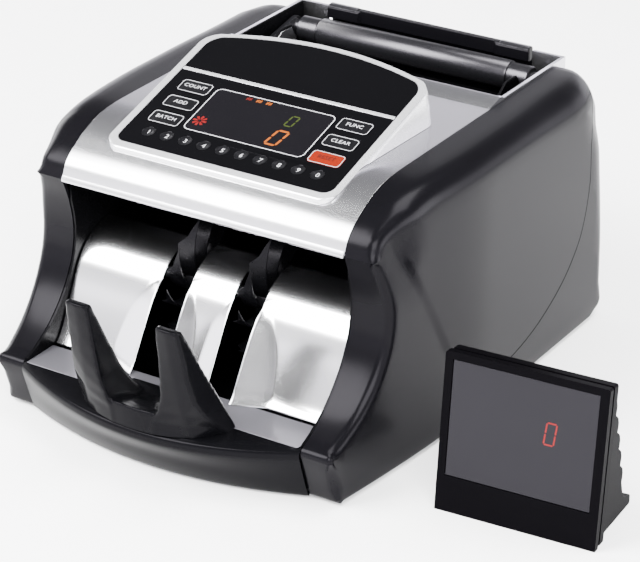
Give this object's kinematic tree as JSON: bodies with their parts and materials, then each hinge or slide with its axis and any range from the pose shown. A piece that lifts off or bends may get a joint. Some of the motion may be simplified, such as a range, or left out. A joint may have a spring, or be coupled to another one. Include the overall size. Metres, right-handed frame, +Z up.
{
  "type": "banknote counter",
  "caption": "Tabletop banknote counter and counterfeit detector with a rear feed hopper, front stacker bay, sloping key console and a separate free-standing count display.",
  "frame": {"origin": "centre of the bounding box's footprint, on the counter top", "axes": "+X to the machine's right, as seen from its front; +Y to its back; +Z up"},
  "size_m": [0.4006, 0.354, 0.2001],
  "materials": {
    "cover_black": "semi-gloss black moulded covers",
    "frame_black": "satin black mouldings",
    "silver_paint": "smooth silver paint",
    "deflector_metal": "smooth bright sheet",
    "floor_grey": "satin grey",
    "gloss_black": "gloss black overlay",
    "key_black": "gloss black keys",
    "key_orange": "orange key",
    "wheel_black": "flexible black",
    "rubber": "matt black rubber",
    "steel": "bright steel",
    "board_green": "green circuit board",
    "remote_black": "satin charcoal",
    "window_smoke": "smoked window"
  },
  "bodies": {
    "machine": {"side_cover_left": "cover_black", "side_cover_right": "cover_black", "rear_shell": "cover_black", "base_plate": "frame_black", "top_cover": "silver_paint", "console_bezel": "silver_paint", "console_overlay": "gloss_black", "console_board": "board_green", "front_tray": "cover_black", "stacker_floor": "floor_grey", "deflector_left": "deflector_metal", "deflector_center": "deflector_metal", "deflector_right": "deflector_metal", "note_stopper": "cover_black", "outlet_guide": "frame_black", "hopper_frame": "silver_paint", "hopper_plate": "frame_black", "side_frame_left": "frame_black", "side_frame_right": "frame_black", "drive_motor": "steel", "drive_belt": "rubber", "main_board": "board_green", "power_supply": "steel", "power_inlet": "frame_black", "display_jack": "frame_black", "foot_front_left": "rubber", "foot_front_right": "rubber", "foot_rear_left": "rubber", "foot_rear_right": "rubber"},
    "impeller": {"impeller_left": "wheel_black", "impeller_right": "wheel_black", "impeller_shaft": "steel"},
    "feed_roller": {"feed_roller": "rubber"},
    "pickup_roller": {"pickup_roller": "rubber"},
    "motor_rotor": {"motor_pulley": "steel"},
    "carry_handle": {"carry_handle": "frame_black"},
    "rear_door": {"rear_door": "frame_black"},
    "note_guide_left": {"note_guide_left": "silver_paint"},
    "note_guide_right": {"note_guide_right": "silver_paint"},
    "power_switch": {"power_switch": "frame_black"},
    "gap_knob": {"gap_knob": "frame_black"},
    "remote_display": {"remote_housing": "remote_black", "remote_window": "window_smoke", "remote_stand": "remote_black"},
    "key_count": {"key_count": "key_black"},
    "key_add": {"key_add": "key_black"},
    "key_batch": {"key_batch": "key_black"},
    "key_func": {"key_func": "key_black"},
    "key_clear": {"key_clear": "key_black"},
    "key_reset": {"key_reset": "key_orange"},
    "key_0": {"key_0": "key_black"},
    "key_1": {"key_1": "key_black"},
    "key_2": {"key_2": "key_black"},
    "key_3": {"key_3": "key_black"},
    "key_4": {"key_4": "key_black"},
    "key_5": {"key_5": "key_black"},
    "key_6": {"key_6": "key_black"},
    "key_7": {"key_7": "key_black"},
    "key_8": {"key_8": "key_black"},
    "key_9": {"key_9": "key_black"}
  },
  "joints": [
    {"name": "feed_spin", "type": "hinge", "parent": "machine", "child": "feed_roller", "pos_m": [-0.0653, 0.052, 0.1], "axis": [1, 0, 0], "continuous": true},
    {"name": "impeller_spin", "type": "hinge", "parent": "machine", "child": "impeller", "pos_m": [-0.0653, -0.058, 0.075], "axis": [1, 0, 0], "continuous": true},
    {"name": "motor_spin", "type": "hinge", "parent": "machine", "child": "motor_rotor", "pos_m": [-0.0653, 0.022, 0.04], "axis": [1, 0, 0], "continuous": true},
    {"name": "pickup_spin", "type": "hinge", "parent": "machine", "child": "pickup_roller", "pos_m": [-0.0653, 0.098, 0.1165], "axis": [1, 0, 0], "continuous": true},
    {"name": "handle_lift", "type": "hinge", "parent": "machine", "child": "carry_handle", "pos_m": [-0.0653, 0.092, 0.15], "axis": [1, 0, 0], "range_deg": [0, 80]},
    {"name": "door_swing", "type": "hinge", "parent": "machine", "child": "rear_door", "pos_m": [-0.0653, 0.1688, 0.07], "axis": [-1, 0, 0], "range_deg": [0, 75]},
    {"name": "switch_rock", "type": "hinge", "parent": "machine", "child": "power_switch", "pos_m": [-0.0333, 0.169, 0.026], "axis": [1, 0, 0], "range_deg": [0, 12]},
    {"name": "knob_turn", "type": "hinge", "parent": "machine", "child": "gap_knob", "pos_m": [-0.1533, 0.17, 0.11], "axis": [0, 1, 0], "range_deg": [-150, 150]},
    {"name": "guide_left_slide", "type": "slide", "parent": "machine", "child": "note_guide_left", "axis": [1, 0, 0], "range_m": [0, 0.03]},
    {"name": "guide_right_slide", "type": "slide", "parent": "machine", "child": "note_guide_right", "axis": [-1, 0, 0], "range_m": [0, 0.03]},
    {"name": "display_slide", "type": "slide", "parent": "machine", "child": "remote_display", "axis": [1, 0, 0], "range_m": [0, 0.3]},
    {"name": "key_count_press", "type": "slide", "parent": "machine", "child": "key_count", "axis": [0, 0.2803, -0.9599], "range_m": [0, 0.0005], "stiffness_N_per_m": 400},
    {"name": "key_add_press", "type": "slide", "parent": "machine", "child": "key_add", "axis": [0, 0.2803, -0.9599], "range_m": [0, 0.0005], "stiffness_N_per_m": 400},
    {"name": "key_batch_press", "type": "slide", "parent": "machine", "child": "key_batch", "axis": [0, 0.2803, -0.9599], "range_m": [0, 0.0005], "stiffness_N_per_m": 400},
    {"name": "key_func_press", "type": "slide", "parent": "machine", "child": "key_func", "axis": [0, 0.2803, -0.9599], "range_m": [0, 0.0005], "stiffness_N_per_m": 400},
    {"name": "key_clear_press", "type": "slide", "parent": "machine", "child": "key_clear", "axis": [0, 0.2803, -0.9599], "range_m": [0, 0.0005], "stiffness_N_per_m": 400},
    {"name": "key_reset_press", "type": "slide", "parent": "machine", "child": "key_reset", "axis": [0, 0.2803, -0.9599], "range_m": [0, 0.0005], "stiffness_N_per_m": 400},
    {"name": "key_0_press", "type": "slide", "parent": "machine", "child": "key_0", "axis": [0, 0.2803, -0.9599], "range_m": [0, 0.0005], "stiffness_N_per_m": 400},
    {"name": "key_1_press", "type": "slide", "parent": "machine", "child": "key_1", "axis": [0, 0.2803, -0.9599], "range_m": [0, 0.0005], "stiffness_N_per_m": 400},
    {"name": "key_2_press", "type": "slide", "parent": "machine", "child": "key_2", "axis": [0, 0.2803, -0.9599], "range_m": [0, 0.0005], "stiffness_N_per_m": 400},
    {"name": "key_3_press", "type": "slide", "parent": "machine", "child": "key_3", "axis": [0, 0.2803, -0.9599], "range_m": [0, 0.0005], "stiffness_N_per_m": 400},
    {"name": "key_4_press", "type": "slide", "parent": "machine", "child": "key_4", "axis": [0, 0.2803, -0.9599], "range_m": [0, 0.0005], "stiffness_N_per_m": 400},
    {"name": "key_5_press", "type": "slide", "parent": "machine", "child": "key_5", "axis": [0, 0.2803, -0.9599], "range_m": [0, 0.0005], "stiffness_N_per_m": 400},
    {"name": "key_6_press", "type": "slide", "parent": "machine", "child": "key_6", "axis": [0, 0.2803, -0.9599], "range_m": [0, 0.0005], "stiffness_N_per_m": 400},
    {"name": "key_7_press", "type": "slide", "parent": "machine", "child": "key_7", "axis": [0, 0.2803, -0.9599], "range_m": [0, 0.0005], "stiffness_N_per_m": 400},
    {"name": "key_8_press", "type": "slide", "parent": "machine", "child": "key_8", "axis": [0, 0.2803, -0.9599], "range_m": [0, 0.0005], "stiffness_N_per_m": 400},
    {"name": "key_9_press", "type": "slide", "parent": "machine", "child": "key_9", "axis": [0, 0.2803, -0.9599], "range_m": [0, 0.0005], "stiffness_N_per_m": 400}
  ],
  "couplings": [
    {"joint": "impeller_spin", "follows": "feed_spin", "ratio": 1},
    {"joint": "motor_spin", "follows": "feed_spin", "ratio": 1.75},
    {"joint": "pickup_spin", "follows": "feed_spin", "ratio": 1.1035}
  ]
}
